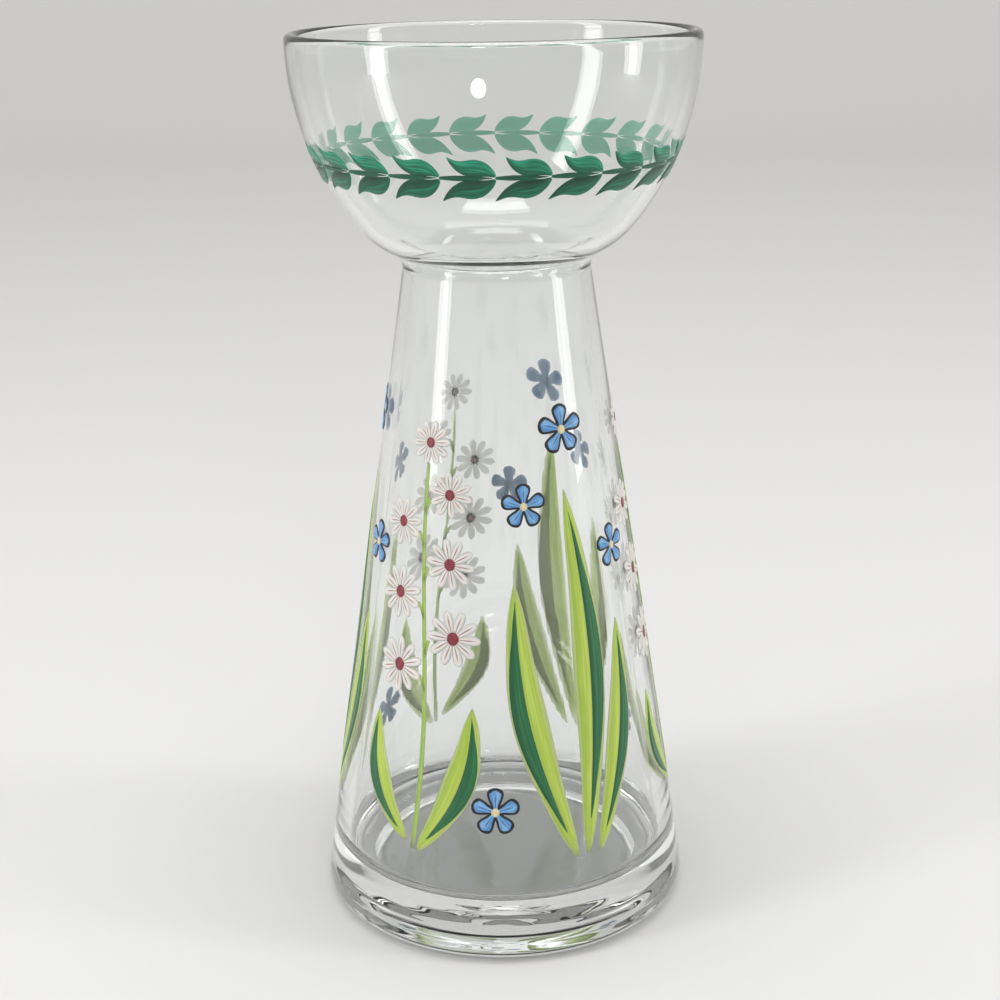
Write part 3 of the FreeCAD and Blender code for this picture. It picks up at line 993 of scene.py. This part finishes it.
# Rim: the last eighth of the width at either side
rim = calculate(brush, "MULTIPLY", calculate(brush, "SUBTRACT", from_middle, 0.38), 9.0, clamp=True)
colour = blend(brush, calculate(brush, "MULTIPLY", rim, 0.7), colour, given["Rim"])
# Back: the faces that look at the glass are painted paler, painted light that stands in for the light
# reaching them through the glass
back = new_node(brush, "ShaderNodeAttribute", attribute_name="back_of_paint").outputs["Fac"]
colour = blend(brush, calculate(brush, "MULTIPLY", back, 0.9), colour, given["Back"])
brush.links.new(colour, result["Colour"])
gloss = calculate(brush, "MULTIPLY", streaks, -0.25)
brush.links.new(calculate(brush, "ADD", gloss, 0.36), result["Roughness"])
brush.links.new(calculate(brush, "ADD", streaks, 0.5), result["Height"])
print("recipe", brush.name, "with", len(brush.nodes), "nodes")

# %% [markdown]
# ## The colours
# The colours are the photograph's: emerald garland, lime leaves with a dark side, warm white daisies and
# sky blue. A coat this thin lets some light through, so the shader's subsurface is on, with a reach under
# a millimetre: together with the paler back that is painted into the colour, that is why the flowers on
# the far side glow softly when they are seen through the glass.

# %% Enamel materials
def enamel(name, colours, tones_and_painted_light, streaks, glow, line=(0.0, 0.0, 0.0), line_strength=0.0):
    """Colours: the paint, its light and dark sides (partly painted highlight and shade), rim and back
    (painted paler: painted light); glow is how much light passes in.
    """
    material = plain_material(name, colours[0], 0.4)
    tree = material.node_tree
    shader = tree.nodes["Principled BSDF"]
    recipe = new_node(tree, "ShaderNodeGroup", node_tree=brush)
    for socket, value in zip(recipe.inputs, (*colours, line)):
        socket.default_value = (*value, 1.0)
    recipe.inputs["Two Tones And Painted Light"].default_value = tones_and_painted_light
    recipe.inputs["Streak Strength"].default_value = streaks
    recipe.inputs["Line Strength"].default_value = line_strength
    relief = new_node(tree, "ShaderNodeBump")
    relief.inputs["Strength"].default_value = 0.6
    relief.inputs["Distance"].default_value = 0.00012
    shader.inputs["Specular IOR Level"].default_value = 0.35
    shader.inputs["Coat Weight"].default_value = 0.15
    shader.inputs["Coat Roughness"].default_value = 0.18
    shader.inputs["Subsurface Weight"].default_value = glow
    shader.inputs["Subsurface Radius"].default_value = (1.0, 1.0, 1.0)
    shader.inputs["Subsurface Scale"].default_value = 0.0009
    tree.links.new(recipe.outputs["Colour"], shader.inputs["Base Color"])
    tree.links.new(recipe.outputs["Roughness"], shader.inputs["Roughness"])
    tree.links.new(recipe.outputs["Height"], relief.inputs["Height"])
    tree.links.new(relief.outputs["Normal"], shader.inputs["Normal"])
    return material


# Each paint: its colour, light side, dark side, rim and back. The light and dark sides are partly painted
# highlight and shade; the back is painted paler, as painted light.
emerald = (
    (0.002, 0.065, 0.036),
    (0.008, 0.24, 0.13),
    (0.001, 0.020, 0.012),
    (0.001, 0.016, 0.010),
    (0.030, 0.37, 0.22),
)
bright_green = (
    (0.003, 0.125, 0.066),
    (0.03, 0.46, 0.27),
    (0.001, 0.040, 0.022),
    (0.001, 0.026, 0.015),
    (0.040, 0.44, 0.27),
)
stem_green = (
    (0.27, 0.40, 0.07),
    (0.44, 0.58, 0.19),
    (0.12, 0.26, 0.05),
    (0.30, 0.46, 0.11),
    (0.46, 0.62, 0.24),
)
lime = (
    (0.36, 0.48, 0.055),
    (0.54, 0.67, 0.17),
    (0.22, 0.36, 0.035),
    (0.54, 0.70, 0.22),
    (0.50, 0.68, 0.20),
)
leaf_green = (
    (0.010, 0.105, 0.036),
    (0.045, 0.24, 0.07),
    (0.004, 0.050, 0.020),
    (0.006, 0.06, 0.022),
    (0.12, 0.34, 0.14),
)
white = (
    (0.74, 0.68, 0.62),
    (0.82, 0.78, 0.73),
    (0.58, 0.49, 0.44),
    (0.78, 0.73, 0.68),
    (0.88, 0.85, 0.80),
)
rose = (
    (0.20, 0.018, 0.032),
    (0.42, 0.09, 0.09),
    (0.09, 0.007, 0.014),
    (0.26, 0.04, 0.04),
    (0.50, 0.22, 0.20),
)
black = (
    (0.008, 0.008, 0.012),
    (0.02, 0.022, 0.035),
    (0.004, 0.004, 0.006),
    (0.006, 0.006, 0.01),
    (0.30, 0.48, 0.78),
)
blue = (
    (0.13, 0.33, 0.66),
    (0.36, 0.57, 0.82),
    (0.05, 0.16, 0.42),
    (0.10, 0.28, 0.60),
    (0.34, 0.54, 0.80),
)
cream = (
    (0.74, 0.62, 0.34),
    (0.84, 0.76, 0.54),
    (0.50, 0.36, 0.14),
    (0.66, 0.52, 0.26),
    (0.74, 0.62, 0.34),
)
# Each paint: its slot, its colours, its two tones with painted highlight and shade, its streaks, its glow,
# and for some a line colour and its strength. The lower garland leaves take their tones the other way
# round.
paints = {
    "garland_stem": ("enamel_emerald", emerald, 0.2, 0.5, 0.25),
    "garland_upper_leaves": ("enamel_bright_green", bright_green, 0.5, 1.3, 0.25),
    "garland_lower_leaves": ("enamel_deep_green", emerald, -0.5, 1.3, 0.25),
    "sprig_stems": ("enamel_stem_green", stem_green, 0.5, 0.6, 0.8),
    "leaf_blades": ("enamel_lime", lime, 0.25, 1.1, 0.8),
    "leaf_shades": ("enamel_leaf_shade", leaf_green, 0.3, 1.1, 0.25),
    "daisy_petals": ("enamel_white", white, 0.1, 0.9, 1.0, (0.16, 0.014, 0.022), 1.0),
    "daisy_hearts": ("enamel_rose", rose, 0.3, 0.9, 0.6),
    "blue_flower_outlines": ("enamel_outline", black, 0.2, 0.5, 0.3),
    "blue_flower_petals": ("enamel_blue", blue, 0.4, 1.2, 0.6, (0.012, 0.014, 0.05), 0.8),
    "blue_flower_centres": ("enamel_cream", cream, 0.2, 0.6, 0.6),
}
for node_name, (slot_name, *recipe_values) in paints.items():
    piece = enamel_pieces[node_name]
    piece.data.materials.clear()
    piece.data.materials.append(enamel("brushed_" + slot_name, *recipe_values))
    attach(piece, "root")
    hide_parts(node_name)
print("enamels", len(paints))
